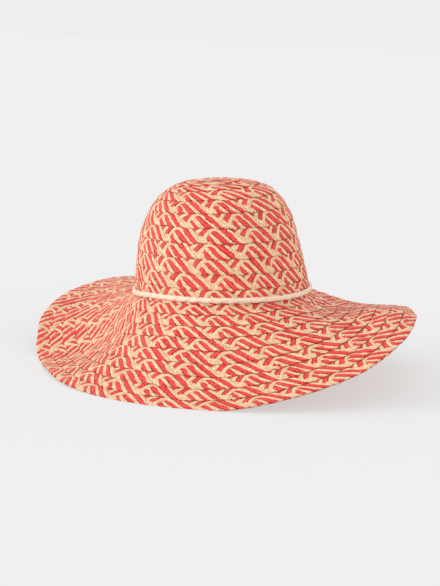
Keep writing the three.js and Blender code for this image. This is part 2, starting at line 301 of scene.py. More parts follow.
def row_point(s, v, lift):
    a = inner_line(s)
    along = a + v * (outer_line(s) - a)
    azimuth = azimuth_of(s)
    near = np.exp(-((along - cord_line(azimuth)) / SQUEEZE_REACH) ** 2)
    share = np.clip(along / RIM_NOMINAL, 0, 1.1)
    lift = lift + eased(along, azimuth) - ring_value(SQUEEZE, azimuth) * near
    point = wall_point(along + share ** 3 * local(azimuth, *RIM_LONGER), azimuth, lift)
    middle, spread = HOLLOW_AT
    point[..., 2] += share ** 4 * local(azimuth, *RIM_HIGHER) \
        - np.exp(-((share - middle) / spread) ** 2) * local(azimuth, HOLLOW)
    return world(point)


def local(azimuth, *swells):
    """Sum of swells, each with its size, middle and spread."""
    return sum(size * np.exp(-((np.mod(azimuth - middle + 180, 360) - 180) / spread) ** 2)
               for size, middle, spread in swells)


def eased(along, azimuth):
    c = np.cos(np.radians(azimuth))
    sides = np.interp(-along, EASE_AT, EASE_RIGHT) * np.maximum(c, 0) ** 1.5 \
        + np.interp(-along, EASE_AT, EASE_LEFT) * np.maximum(-c, 0) ** 1.5
    top = np.clip((-along - EASE_TOP_FROM) / EASE_TOP_RUN, 0, 1)
    return sides * (1 - top) + EASE_TOP * top


S_GRID = np.arange(S_START, S_END + 1.2, STEP_S)
WANDER_GRID = np.zeros_like(S_GRID)
_mid_line = row_point(S_GRID, np.full_like(S_GRID, 0.5), np.ones_like(S_GRID)) * 1000
U_GRID = np.concatenate([[0], np.cumsum(np.linalg.norm(np.diff(_mid_line, axis=0), axis=1))])
for _size, _length in DRIFTS:
    WANDER_GRID += _size * np.sin(U_GRID / _length * 2 * math.pi + _length)

# Where the pattern's short coral slashes stand on the rows that face the camera:
# millimetres right of the front, by row
MARKS = {
    -8: (-34, 2.5, 38),
    -7: (-45, -7, 29),
    -6: (-32, 8.5, 43),
    -5: (-54, -16, 24.5, 60),
    -4: (-61, -20, 21, 58),
    -3: (-64, -22.5, 15.5, 50, 85),
    -2: (-87, -47, -4.5, 32, 64.5),
    -1: (-56, -16, 21, 57, 91),
    0: (-37, -0.5, 33),
    1: (-54, -14.5, 20, 53),
    2: (-48, -6.5, 32, 67),
    3: (-65.5, -28, 10, 47, 86),
    4: (-87, -44.5, -3.5, 37, 72),
    5: (-78, -39.5, 2.5, 45.5, 85),
    6: (-101, -59.5, -20.5, 19.5, 56.5, 93),
    7: (-73, -32, 7.5, 45.5, 83.5),
    8: (-101, -58, -17.5, 26, 66.5, 102.5),
}
MOTIF = 38.7
MARK_AT = 21.3
MOTIF_MIDDLE = 20.0


def mark_table():
    places = []
    for row, marks in MARKS.items():
        front = np.interp(row, S_GRID, U_GRID)
        places += [front - m for m in marks]
    places = np.sort(np.array(places, float))
    index = [0.0]
    for gap in np.diff(places):
        index.append(index[-1] + max(1, round(gap / MOTIF)))
    index = np.array(index)
    before = np.arange(math.floor(places[0] / MOTIF), 0, -1)
    u_end = np.interp(S_END, S_GRID, U_GRID)
    after = np.arange(1, math.floor((u_end - places[-1]) / MOTIF) + 1)
    return (np.concatenate([-before, index, index[-1] + after]),
            np.concatenate([places[0] - before * MOTIF, places, places[-1] + after * MOTIF]))


MARK_INDEX, MARK_U = mark_table()


def s_of_motif(n, x):
    """Turn of the spiral at x millimetres right of the start of motif n."""
    u = np.interp(n - (x - MARK_AT) / MOTIF, MARK_INDEX, MARK_U)
    return np.interp(u, U_GRID, S_GRID)


# The floats of one motif: centre line as x along the row in millimetres, v down
# the row and z above the row's face, with the float's width and colour. A float
# that crosses the row's edge dives into the seam there.
def tucked(x, way):
    """Start of a float past the row's inner edge; way is its run in x per row."""
    return [(x - 0.12 * way, -0.12, 0.0), (x, 0.0, 0.0)]


def folded(x, way):
    """End of a float past the row's outer edge."""
    return [(x - 0.06 * way, 0.94, 0.0), (x + 0.11 * way, 1.11, 0.0)]


FLOATS = [
    ("coral", 4.3, tucked(0, 15.5) + [(4, 0.26, 0.24), (8, 0.52, 0.3), (12, 0.775, 0.22)]
     + folded(15.5, 15.5)),
    ("natural", 3.9, tucked(5.3, 15.3) + [(9.3, 0.26, 0.16), (13.2, 0.52, 0.2), (17, 0.775, 0.18)]
     + folded(20.6, 15.3)),
    ("coral", 4.4, tucked(11.5, 15) + [(13.4, 0.12, -0.05), (14.8, 0.2, -0.8)]),
    ("natural", 3.9, tucked(18.8, -10) + [(17.3, 0.14, 0.05), (15.4, 0.28, 0.0), (13.9, 0.39, -0.3),
                                          (13.0, 0.46, -0.8)]),
    ("coral", 4.5, tucked(24.4, -11) + [(22.6, 0.16, 0.16), (20.8, 0.32, 0.18),
                                        (18.9, 0.5, -0.02), (17.2, 0.66, -0.85)]),
    ("natural", 3.9, [(26.2, 1.11, 0.0), (24.7, 0.95, 0.0), (23.6, 0.87, 0.06),
                      (22.9, 0.75, 0.16), (23.1, 0.61, 0.22), (24.5, 0.42, 0.24),
                      (26.7, 0.23, 0.2), (29.3, 0.11, 0.14), (32.2, 0.085, 0.12),
                      (35.0, 0.16, 0.14), (38.4, 0.35, 0.18), (42.6, 0.6, 0.2), (46.0, 0.82, 0.18)]
     + folded(48.8, 15)),
    ("natural", 3.9, [(16.8, 0.46, -0.7), (18.6, 0.58, 0.0), (20.8, 0.73, 0.14),
                      (22.8, 0.87, 0.1), (25.0, 1.02, 0.0)]),
    ("coral", 4.5, [(24.6, 0.4, -0.8), (25.8, 0.5, -0.1), (27.4, 0.62, 0.18), (29.4, 0.8, 0.16)]
     + folded(31.6, 12)),
    ("natural", 3.6, [(23.6, 0.5, -0.8), (24.5, 0.6, -0.15), (25.6, 0.74, 0.06), (26.5, 0.86, 0.06)]
     + folded(27.6, 9)),
    ("natural", 3.9, [(25.8, 0.24, -0.8), (27.5, 0.34, -0.08), (29.6, 0.46, 0.14),
                      (32.7, 0.68, 0.18), (35.4, 0.87, 0.14)] + folded(37.3, 14)),
    ("coral", 4.4, [(28.8, 0.1, -0.9), (30.4, 0.18, -0.14), (32.4, 0.29, 0.18),
                    (36, 0.5, 0.24), (39.8, 0.74, 0.2)] + folded(44.0, 15)),
]
# Where the bend into the seam starts, how far it runs, and how deep it goes, at
# the lapping outer edge, the inner edge that runs under the row before, and the rim
OUTER_BEND = (0.95, 0.058, 0.95)
INNER_BEND = (0.04, 0.05, 0.8)
RIM_DROP = 1.4
EDGE_ROUND = 0.026
# How open the seams lie, every 45 degrees: drawn tight on the left, and by how
# much tighter on the crown
SEAM_OPEN = np.array([0.95, 0.8, 0.6, 0.3, 0.05, 0.08, 0.62, 0.85])
CROWN_TIGHTER = 0.75
# How much nearer its edges a row bends where the seam is shut, how much less far,
# and what is left of the bend's depth there
SHUT_BEND = 0.03
SHUT_LESS = 0.6
SHUT_DEPTH = 0.35


def seam_wrap(v, across, rim, ragged, open_):
    """Bend what crosses the row's edges down into the seam, each float with a
    rounded end; across is the place in the float's width, from -1 to 1, and
    ragged how far past the edge its end stands."""
    start, run, drop = OUTER_BEND
    first, back, dip = INNER_BEND
    shut = np.clip(1 - open_, 0, 1)
    start, first = start + SHUT_BEND * shut, first * (1 - SHUT_LESS * shut)
    round_ = EDGE_ROUND * across ** 2 * open_
    drop, dip = drop * (SHUT_DEPTH + (1 - SHUT_DEPTH) * open_), dip * open_
    bent = np.clip(v, first, start) \
        + (run - round_ + ragged) * (1 - np.exp(-np.maximum(v - start, 0) / run)) \
        - (back - round_) * (1 - np.exp(-np.maximum(first - v, 0) / back))
    down = np.clip((v - start) / (2 * run), 0, 1)
    up = np.clip((first - v) / (2 * back), 0, 1)
    deep = drop + (RIM_DROP - drop) * rim
    # Weight of the painted seam shade: how far into the bend, and how open the seam lies
    seam_shade_weight = np.maximum(down, up) * np.minimum(open_, 1)
    return bent, -deep * down ** 1.5 - dip * up ** 1.5, seam_shade_weight


ROW_NOMINAL = 14.2
FACE_LIFT = 0.55
# How unevenly the straws lie, in millimetres: along the row in three ways, down it,
# up and down, and in the skin of each straw
SHIFT_SPREAD = 0.42
SLANT_SPREAD = 0.7
BOW_SPREAD = 0.3
DOWN_SPREAD = 0.2
LIFT_SPREAD = 0.05
LIFT_WAVE = 0.07
LUMP_SPREAD = 0.13
# The same as shares: of a straw's width, of its twist, of the row past its edge, and
# how open a straw's own seam is
WIDTH_SPREAD = 0.09
TWIST_SPREAD = 0.05
RAGGED_SPREAD = 0.026
OPEN_RANGE = (0.1, 1.4)
INSIDE_OPEN = 0.8
# How much wider the coral straws lie: everywhere, more out on the brim, and more at
# two places round it, each with its size, azimuth and spread
CORAL_WIDER = 0.12
BRIM_WIDER = 0.06
WIDER_AT = ((0.19, 350.0, 50.0), (0.15, 175.0, 45.0))


def smooth_path(points, step):
    """Even steps along a smooth curve through the points."""
    p = np.array(points, float)
    p[:, 1] *= ROW_NOMINAL
    q = np.vstack([2 * p[0] - p[1], p, 2 * p[-1] - p[-2]])
    t = np.linspace(0, 1, 17)[:-1, None]
    parts = []
    for k in range(1, len(q) - 2):
        a, b, c, d = q[k - 1], q[k], q[k + 1], q[k + 2]
        parts.append(0.5 * (2 * b + (c - a) * t + (2 * a - 5 * b + 4 * c - d) * t ** 2
                            + (3 * b - a - 3 * c + d) * t ** 3))
    dense = np.vstack(parts + [p[-1:]])
    run = np.concatenate([[0], np.cumsum(np.linalg.norm(np.diff(dense, axis=0), axis=1))])
    count = max(4, int(round(run[-1] / step)))
    at = np.linspace(0, run[-1], count + 1)
    return np.column_stack([np.interp(at, run, dense[:, i]) for i in range(3)]), at


SECTION_OUT = np.array([(-0.5, -0.14), (-0.44, 0.2), (-0.18, 0.36), (0.18, 0.36),
                        (0.44, 0.2), (0.5, -0.14)])
SECTION_IN = np.array([(-0.5, -0.1), (-0.24, 0.38), (0.24, 0.38), (0.5, -0.1)])


def unit(a):
    return a / np.linalg.norm(a, axis=-1, keepdims=True)


def wall_faces(rings, sides):
    """Quads of a tube of rings, open at both ends."""
    i = np.arange(rings - 1)[:, None] * sides
    j = np.arange(sides)[None]
    k = (j + 1) % sides
    return np.stack([i + j, i + k, i + sides + k, i + sides + j], -1).reshape(-1, 4)


def repeated(cells, times, count):
    """Faces of many tubes of count points each, one after the other."""
    return (cells[None] + (np.arange(times) * count)[:, None, None]).reshape(-1, 4)


def ring_faces(rings, sides):
    """Quads of a tube of rings, capped at both ends."""
    half = sides // 2 - 1
    cap = np.array([(m, m + 1, sides - 2 - m, sides - 1 - m) for m in range(half)])
    return np.concatenate([wall_faces(rings, sides), cap[:, ::-1], cap + (rings - 1) * sides])


def fuller(motifs):
    """How much wider the coral straws lie, by motif."""
    s = s_of_motif(motifs[:, None], np.full((len(motifs), 1), MOTIF_MIDDLE))
    return CORAL_WIDER + np.clip(s / 1.5, 0, 1) * BRIM_WIDER + local(azimuth_of(s), *WIDER_AT)


def float_set(colour, side, step, section, motifs):
    """Vertices, faces, strand coordinates and folds, the weights of painted seam shade, of all floats
    of one colour and side.
    """
    verts, faces, runs, folds = [], [], [], []
    base = 0
    for kind, width, points in FLOATS:
        if kind != colour:
            continue
        path, at = smooth_path(points, step)
        tangent = unit(np.gradient(path, axis=0))
        flat = unit(np.column_stack([-tangent[:, 1], tangent[:, 0], np.zeros(len(path))]))
        up = unit(np.cross(tangent, flat))
        up *= np.sign(up[:, 2:].sum() or 1)
        m = len(motifs)
        t = (at / at[-1])[None]
        shift = rng.normal(0, SHIFT_SPREAD, (m, 1)) + rng.normal(0, SLANT_SPREAD, (m, 1)) * (t - 0.5)
        shift = shift + rng.normal(0, BOW_SPREAD, (m, 1)) * np.sin(t * math.pi * 2)
        wide = width * (1 + rng.normal(0, WIDTH_SPREAD, (m, 1)))
        if colour == "coral":
            wide = wide * (1 + fuller(motifs))
        swell = rng.normal(0, WIDTH_SPREAD, (m, 1))
        wide = wide * (1 + swell * np.cos(t * 9 + rng.uniform(0, 6, (m, 1))))
        tall = rng.normal(0, LIFT_SPREAD, (m, 1))
        tall = tall + LIFT_WAVE * np.sin(t * 11 + rng.uniform(0, 6, (m, 1)))
        twist = rng.normal(0, TWIST_SPREAD, (m, 1))
        o = section[:, 0][None, None]
        h = section[:, 1][None, None]
        lumps = rng.normal(0, LUMP_SPREAD, (m, len(path), len(section)))
        across = wide[..., None] * o + lumps
        rise = h + tall[..., None] + twist[..., None] * o * 2 + lumps * 0.4
        x = path[None, :, 0, None] + shift[..., None] + flat[None, :, 0, None] * across \
            + up[None, :, 0, None] * rise
        y = path[None, :, 1, None] + rng.normal(0, DOWN_SPREAD, (m, 1, 1)) \
            + flat[None, :, 1, None] * across + up[None, :, 1, None] * rise
        z = path[None, :, 2, None] + up[None, :, 2, None] * rise
        v = y / ROW_NOMINAL
        s = s_of_motif(motifs[:, None, None], x)
        rim = np.clip((s - RIM_FROM) * RIM_FADE, 0, 1) if side > 0 else 0.0
        ragged = rng.normal(0, RAGGED_SPREAD, (m, 1, 1)) * (1 - rim)
        if side > 0:
            open_ = ring_value(SEAM_OPEN, azimuth_of(s)) * rng.uniform(*OPEN_RANGE, (m, 1, 1)) \
                * np.where(s < 0, CROWN_TIGHTER, 1.0)
        else:
            open_ = np.full_like(s, INSIDE_OPEN)
        v, dive, seam_shade_weight = seam_wrap(v, 2 * o, rim, ragged, open_)
        lift = FACE_LIFT + LAP_STEP * v + z + dive
        if side < 0:
            v = 1 - v
        points3 = row_point(s, v, side * lift)
        count = len(path) * len(section)
        verts.append(points3.reshape(-1, 3))
        faces.append(repeated(ring_faces(len(path), len(section)), m, count) + base)
        seed = np.broadcast_to(rng.uniform(0, 1, (m, 1, 1)), x.shape)
        run = np.broadcast_to(at[None, :, None], x.shape)
        strand = np.stack([run, np.broadcast_to(across, x.shape), seed * 400], -1)
        runs.append(strand.reshape(-1, 3))
        # No painted seam shade at the rim, whose edge stands free
        folds.append((np.broadcast_to(seam_shade_weight, x.shape) * (1 - rim)).ravel())
        base += m * count
    return [np.concatenate(part) for part in (verts, faces, runs, folds)]


def settle(points):
    """Press what would go through the surface flat on it."""
    low, soft = 0.0002, 0.0005
    z = (points[:, 2] - low) / soft
    points[:, 2] = low + soft * np.where(z > 20, z, np.log1p(np.exp(np.minimum(z, 20))))
    return points


def add_mesh(name, verts, faces, runs, folds=None):
    """A smooth mesh whose faces look outwards, with its strand coordinates and folds, the weights of
    its painted seam shade.
    """
    tri = verts[faces]
    volume = np.einsum("ij,ij->i", tri[:, 0], np.cross(tri[:, 1], tri[:, 2])).sum() \
        + np.einsum("ij,ij->i", tri[:, 0], np.cross(tri[:, 2], tri[:, 3])).sum()
    if volume < 0:
        faces = faces[:, ::-1]
    mesh = bpy.data.meshes.new(name)
    mesh.vertices.add(len(verts))
    mesh.vertices.foreach_set("co", verts.astype(np.float32).ravel())
    mesh.loops.add(faces.size)
    mesh.loops.foreach_set("vertex_index", faces.astype(np.int32).ravel())
    mesh.polygons.add(len(faces))
    mesh.polygons.foreach_set("loop_start", np.arange(len(faces), dtype=np.int32) * 4)
    mesh.polygons.foreach_set("use_smooth", np.full(len(faces), True))
    layer = mesh.attributes.new("strand", "FLOAT_VECTOR", "POINT")
    layer.data.foreach_set("vector", runs.astype(np.float32).ravel())
    if folds is not None:
        layer = mesh.attributes.new("seam_shade_weight", "FLOAT", "POINT")
        layer.data.foreach_set("value", folds.astype(np.float32))
    mesh.update()
    mesh.validate()
    obj = bpy.data.objects.new(name, mesh)
    bpy.context.scene.collection.objects.link(obj)
    return obj


def dress(obj, material, node):
    obj.data.materials.append(material)
    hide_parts(node)
    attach(obj, "root")


# Materials
def shader(name, roughness, specular):
    material = bpy.data.materials.new(name)
    material.use_nodes = True
    tree = material.node_tree
    bsdf = tree.nodes["Principled BSDF"]
    bsdf.inputs["Roughness"].default_value = roughness
    bsdf.inputs["Specular IOR Level"].default_value = specular
    return material, tree, bsdf


def link_noise(tree, vector, scale, detail=2.0, rough=0.5):
    node = tree.nodes.new("ShaderNodeTexNoise")
    node.inputs["Scale"].default_value = scale
    node.inputs["Detail"].default_value = detail
    node.inputs["Roughness"].default_value = rough
    tree.links.new(vector, node.inputs["Vector"])
    return node.outputs["Fac"]


def ramp(tree, fac, stops):
    node = tree.nodes.new("ShaderNodeValToRGB")
    element = node.color_ramp.elements
    while len(element) < len(stops):
        element.new(0.5)
    for e, (place, colour) in zip(element, stops):
        e.position = place
        e.color = (*colour, 1)
    tree.links.new(fac, node.inputs["Fac"])
    return node.outputs["Color"]


def scaled(tree, vector, scale):
    node = tree.nodes.new("ShaderNodeVectorMath")
    node.operation = "MULTIPLY"
    node.inputs[1].default_value = scale
    tree.links.new(vector, node.inputs[0])
    return node.outputs[0]


def mixed(tree, fac, a, b, mode="MIX"):
    node = tree.nodes.new("ShaderNodeMix")
    node.data_type = "RGBA"
    node.blend_type = mode
    for value, key in ((fac, "Factor"), (a, "A"), (b, "B")):
        socket = node.inputs[key]
        if isinstance(value, (int, float)):
            socket.default_value = value
        elif isinstance(value, tuple):
            socket.default_value = (*value, 1)
        else:
            tree.links.new(value, socket)
    return node.outputs["Result"]


def calc(tree, operation, *values):
    node = tree.nodes.new("ShaderNodeMath")
    node.operation = operation
    for socket, value in zip(node.inputs, values):
        if isinstance(value, (int, float)):
            socket.default_value = value
        else:
            tree.links.new(value, socket)
    return node.outputs[0]


def ranged(tree, value, low, high):
    node = tree.nodes.new("ShaderNodeMapRange")
    node.inputs["From Min"].default_value = low
    node.inputs["From Max"].default_value = high
    tree.links.new(value, node.inputs["Value"])
    return node.outputs["Result"]


def attribute(tree, name):
    node = tree.nodes.new("ShaderNodeAttribute")
    node.attribute_name = name
    return node


def add_bump(tree, bsdf, height, strength, distance):
    bump = tree.nodes.new("ShaderNodeBump")
    bump.inputs["Strength"].default_value = strength
    bump.inputs["Distance"].default_value = distance
    tree.links.new(height, bump.inputs["Height"])
    tree.links.new(bump.outputs["Normal"], bsdf.inputs["Normal"])


def straw(name, dark, body, light, edge, crease, deep):
    """Straw float: blots and fine fibres along it, the lighter blots partly the straw's mottle
    and partly painted highlight, a tone of its own, painted shade along its notched sides
    and in a broken crease down its middle, and painted shade where it folds into a seam."""
    material, tree, bsdf = shader(name, 0.58, 0.18)
    vector = attribute(tree, "strand").outputs["Vector"]
    fibres = link_noise(tree, scaled(tree, vector, (0.5, 2.6, 1.0)), 1.0, 3.0, 0.6)
    blots = link_noise(tree, scaled(tree, vector, (1.25, 1.0, 1.0)), 1.0, 3.0, 0.65)
    tone = link_noise(tree, scaled(tree, vector, (0.0, 0.0, 0.37)), 1.0, 0.0, 0.0)
    # Blots darker and lighter at random: the darker ones are the straw's mottle, the lighter ones
    # partly mottle and partly painted highlight
    colour = ramp(tree, blots, [(0.4, dark), (0.5, body), (0.6, light)])
    streak = ramp(tree, fibres, [(0.34, (0.66, 0.62, 0.58)), (0.52, (1, 1, 1))])
    colour = mixed(tree, 0.8, colour, streak, "MULTIPLY")
    tint = ramp(tree, tone, [(0.3, (0.89, 0.86, 0.84)), (0.5, (1, 1, 1)), (0.7, (1.0, 1.0, 0.96))])
    colour = mixed(tree, 0.85, colour, tint, "MULTIPLY")
    split = tree.nodes.new("ShaderNodeSeparateXYZ")
    tree.links.new(vector, split.inputs[0])
    away = calc(tree, "ABSOLUTE", split.outputs["Y"])
    # Painted shade along the float's sides, where it meets its neighbours, reaching in by an uneven,
    # notched amount
    notches = link_noise(tree, scaled(tree, vector, (0.62, 0.12, 1.0)), 1.0, 2.0, 0.7)
    reach = calc(tree, "ADD", away, calc(tree, "MULTIPLY_ADD", notches, 2.6, -1.3))
    border_shade = ramp(tree, ranged(tree, reach, 0.95, 2.05), [(0.0, (1, 1, 1)), (1.0, edge)])
    colour = mixed(tree, 1.0, colour, border_shade, "MULTIPLY")
    # Painted shade in a broken crease down the float's middle
    dashes = link_noise(tree, scaled(tree, vector, (0.42, 0.0, 1.7)), 1.0, 1.0, 0.5)
    broken = ranged(tree, dashes, 0.44, 0.56)
    middle = calc(tree, "MULTIPLY", ranged(tree, away, 0.62, 0.12), broken)
    crease_shade = ramp(tree, middle, [(0.0, (1, 1, 1)), (1.0, crease)])
    colour = mixed(tree, 1.0, colour, crease_shade, "MULTIPLY")
    # Painted shade in the deep colour where the float bends down into a seam
    seam_shade_weight = attribute(tree, "seam_shade_weight").outputs["Fac"]
    colour = mixed(tree, ranged(tree, seam_shade_weight, 0.25, 0.75), colour, deep)
    tree.links.new(colour, bsdf.inputs["Base Color"])
    add_bump(tree, bsdf, fibres, 0.5, 0.0003)
    bsdf.inputs["Sheen Weight"].default_value = 0.04
    bsdf.inputs["Sheen Roughness"].default_value = 0.5
    return material


# Colours: dark, body and light blots, the light one partly painted highlight, then the painted shade of
# the float's sides, of its crease and of its bend into a seam
NATURAL = straw("straw_natural", (0.69, 0.42, 0.24), (0.83, 0.568, 0.368), (0.95, 0.735, 0.505),
                (0.68, 0.55, 0.42), (0.68, 0.55, 0.40), (0.50, 0.17, 0.10))
CORAL = straw("straw_coral", (0.56, 0.022, 0.021), (0.79, 0.062, 0.056), (0.93, 0.145, 0.13),
              (0.62, 0.26, 0.23), (0.86, 0.60, 0.58), (0.44, 0.012, 0.012))


# Dark brown painted shade for the core down in the seams, with a fine speckle
def seam_shade_core():
    material, tree, bsdf = shader("painted_seam_shade", 0.8, 0.2)
    place = tree.nodes.new("ShaderNodeTexCoord")
    speckle = link_noise(tree, place.outputs["Object"], 260.0, 3.0, 0.6)
    colour = ramp(tree, speckle, [(0.35, (0.20, 0.045, 0.025)), (0.65, (0.38, 0.13, 0.08))])
    tree.links.new(colour, bsdf.inputs["Base Color"])
    add_bump(tree, bsdf, speckle, 0.5, 0.0004)
    return material


SEAM_SHADE = seam_shade_core()

# Core of each row: a closed strip under the floats, in a lapped section, cream
# where it shows between floats and dark brown painted seam shade down in the seams
CORE = np.array([(-0.1, -0.1), (0.0, 0.2), (0.045, 0.5), (0.5, 0.98), (0.955, 1.3), (0.975, 0.7),
                 (1.1, -0.2), (1.0, -0.4), (0.5, -0.87), (0.045, -1.2), (0.03, -0.6), (0.0, -0.2)])
CORE_SHADED_SIDES = (0, 1, 4, 5, 6, 9, 10, 11)
RIM_CORE = np.array([(-0.1, -0.1), (0.0, 0.2), (0.045, 0.5), (0.5, 0.98), (0.94, 1.15), (0.975, 0.75),
                     (0.98, 0.0), (0.975, -0.5), (0.5, -0.87), (0.06, -1.2), (0.04, -0.6), (0.0, -0.2)])
RIM_SHADED_SIDES = (0, 1, 9, 10, 11)
CORE_STEP = 1 / 120
# Turns of the spiral at which the cores of crown and brim meet, and at which the
# motifs pass from crown to brim and from the brim's inner rows to its edge
CORES_MEET = -0.17
BRIM_FROM = -0.35
EDGE_FROM = 5.0
OUTSIDE_STEP = 1.4
INSIDE_STEP = 2.8


def core(name, s0, s1, node):
    s = np.arange(s0, s1, CORE_STEP)
    ss = np.repeat(s[:, None], len(CORE), 1)
    rim = np.clip((ss - RIM_FROM) * RIM_FADE, 0, 1)
    v = CORE[None, :, 0] * (1 - rim) + RIM_CORE[None, :, 0] * rim
    lift = CORE[None, :, 1] * (1 - rim) + RIM_CORE[None, :, 1] * rim
    points = row_point(ss, v, lift).reshape(-1, 3)
    faces = ring_faces(len(s), len(CORE))
    u = np.interp(ss, S_GRID, U_GRID)
    y = v * ROW_NOMINAL
    runs = np.stack([(u - y) * 0.7, np.full_like(u, 0.8), (u + y) * 0.7], -1).reshape(-1, 3)
    obj = add_mesh(name, settle(points), faces, runs)
    dress(obj, NATURAL, node)
    # The core's sides down in the seams take the painted seam shade
    obj.data.materials.append(SEAM_SHADE)
    side = np.arange(len(CORE))
    at_rim = s[:-1, None] > RIM_FROM
    dark = np.where(at_rim, np.isin(side, RIM_SHADED_SIDES), np.isin(side, CORE_SHADED_SIDES)).ravel()
    slots = np.concatenate([dark, np.zeros(len(obj.data.polygons) - len(dark), bool)])
    obj.data.polygons.foreach_set("material_index", slots.astype(np.int32))


core("crown_core", S_START, CORES_MEET, "crown")
core("brim_core", CORES_MEET, S_END, "brim")

first = math.ceil(MARK_INDEX[0])
last = math.floor(MARK_INDEX[-1] - 1)
ALL = np.arange(first, last + 1)
CENTRE_S = s_of_motif(ALL, np.full(len(ALL), MOTIF_MIDDLE))
PARTS = (("crown", "crown", ALL[CENTRE_S < BRIM_FROM]),
         ("brim_rows", "brim", ALL[(CENTRE_S >= BRIM_FROM) & (CENTRE_S < EDGE_FROM)]),
         ("brim_edge", "brim", ALL[CENTRE_S >= EDGE_FROM]))
SIDES = ((1, "outside", OUTSIDE_STEP, SECTION_OUT), (-1, "inside", INSIDE_STEP, SECTION_IN))
for part, node, motifs in PARTS:
    for side, place, step, section in SIDES:
        for colour, material in (("natural", NATURAL), ("coral", CORAL)):
            verts, faces, runs, folds = float_set(colour, side, step, section, motifs)
            obj = add_mesh(f"{part}_plait_{place}_{colour}", settle(verts), faces, runs, folds)
            dress(obj, material, node)


# Half the length, width and thickness of the plait's folded start, and its lift
START_SIZE = (3.4, 2.8, 1.4)
START_LIFT = -0.3


def plait_start():
    """The folded start of the plait, which closes the middle of the spiral."""
    rings, sides = 9, 18
    turn = (np.arange(sides) / sides * 2 * math.pi)[None]
    polar = ((np.arange(rings) + 0.5) / rings * math.pi)[:, None]
    out = np.sin(polar) ** 0.8 * (1 + 0.06 * np.sin(3 * turn) + 0.04 * np.sin(5 * turn + 1))
    shape = np.stack([START_SIZE[0] * out * np.cos(turn), START_SIZE[1] * out * np.sin(turn),
                      START_SIZE[2] * np.cos(polar) * np.ones_like(turn)], -1).reshape(-1, 3)
    tip = wall_point(np.array([-DOME_LENGTH]), np.zeros(1), np.array([START_LIFT]))[0]
    runs = np.stack([shape[:, 0], np.full(len(shape), 0.8), shape[:, 1]], -1)
    obj = add_mesh("crown_start", world(shape + tip), ring_faces(rings, sides), runs)
    dress(obj, NATURAL, "crown")


plait_start()

# Cotton cord of two loosely twisted strands round the foot of the crown
CORD_LIFT = 4.0
CORD_HALF = (2.35, 2.65)
CORD_PITCH = 24.0
CORD_STEP = 0.8
STRAND_SIDES = 14
# Least reach of a strand's round, towards the other strand
STRAND_INNER = 0.48
FIBRES = 1500


def cord_centre(azimuth):
    line = cord_line(azimuth)
    lift = CORD_LIFT - ring_value(SQUEEZE, azimuth) + eased(line, azimuth)
    return stand(wall_point(line, azimuth, lift))


def cotton():
    material, tree, bsdf = shader("cotton_cream", 0.9, 0.12)
    vector = attribute(tree, "strand").outputs["Vector"]
    yarn = link_noise(tree, scaled(tree, vector, (0.22, 2.6, 1.0)), 1.0, 4.0, 0.6)
    soft = link_noise(tree, scaled(tree, vector, (0.12, 0.4, 1.0)), 1.0, 2.0, 0.5)
    tone = ramp(tree, soft, [(0.3, (0.74, 0.555, 0.405)), (0.6, (0.86, 0.69, 0.53))])
    shade = ramp(tree, yarn, [(0.3, (0.80, 0.74, 0.66)), (0.55, (1, 1, 1))])
    tree.links.new(mixed(tree, 0.8, tone, shade, "MULTIPLY"), bsdf.inputs["Base Color"])
    add_bump(tree, bsdf, yarn, 0.6, 0.0005)
    bsdf.inputs["Sheen Weight"].default_value = 0.4
    return material


def cord():
    fine = np.linspace(0, 360, 2881)
    line = cord_centre(fine)
    run = np.concatenate([[0], np.cumsum(np.linalg.norm(np.diff(line, axis=0), axis=1))])
    count = int(round(run[-1] / CORD_STEP))
    at = np.arange(count) * run[-1] / count
    centre = np.column_stack([np.interp(at, run, line[:, i]) for i in range(3)])
    ahead = unit(np.roll(centre, -1, 0) - np.roll(centre, 1, 0))
    middle = centre.mean(0)
    out = (centre - middle) * (1, 1, 0.0)
    out = unit(out - ahead * np.sum(out * ahead, 1, keepdims=True))
    up = unit(np.cross(out, ahead))
    twists = round(run[-1] / CORD_PITCH)
    material = cotton()
    for index in range(2):
        turn = (at / run[-1] * twists * 2 * math.pi + index * math.pi)[:, None]
        a = np.arange(STRAND_SIDES) / STRAND_SIDES * 2 * math.pi
        ring = a[None] + turn
        # Each strand is a soft lobe of the cord's round, so the twist shows only faintly
        lobe = 0.5 + 0.5 * np.cos(a)[None]
        radius = STRAND_INNER + (1 - STRAND_INNER) * lobe ** 0.7
        swell = 1 + 0.05 * np.sin(at * 0.31 + index * 2) + 0.03 * np.sin(at * 0.83)
        thick = rng.normal(0, 0.012, (count, STRAND_SIDES))
        thick = (thick + np.roll(thick, 1, 0) + np.roll(thick, 2, 0)) / 1.5
        reach = radius * swell[:, None] * (1 + thick)
        verts = centre[:, None] + (reach * np.cos(ring) * CORD_HALF[0])[..., None] * out[:, None] \
            + (reach * np.sin(ring) * CORD_HALF[1])[..., None] * up[:, None]
        runs = np.stack([np.repeat(at[:, None], STRAND_SIDES, 1),
                         np.repeat(a[None] * 2.5, count, 0) + at[:, None] * 0.12,
                         np.full((count, STRAND_SIDES), 9.0 * index)], -1)
        i = np.arange(count)[:, None] * STRAND_SIDES
        n = (np.arange(count)[:, None] + 1) % count * STRAND_SIDES
        j = np.arange(STRAND_SIDES)[None]
        k = (j + 1) % STRAND_SIDES
        faces = np.stack([i + j, i + k, n + k, n + j], -1).reshape(-1, 4)
        verts = (verts.reshape(-1, 3) - ORIGIN) * 0.001
        obj = add_mesh(f"hat_cord_strand_{index + 1}", verts, faces, runs.reshape(-1, 3))
        dress(obj, material, "hat_cord")
    fuzz(material, centre, ahead, out, up)


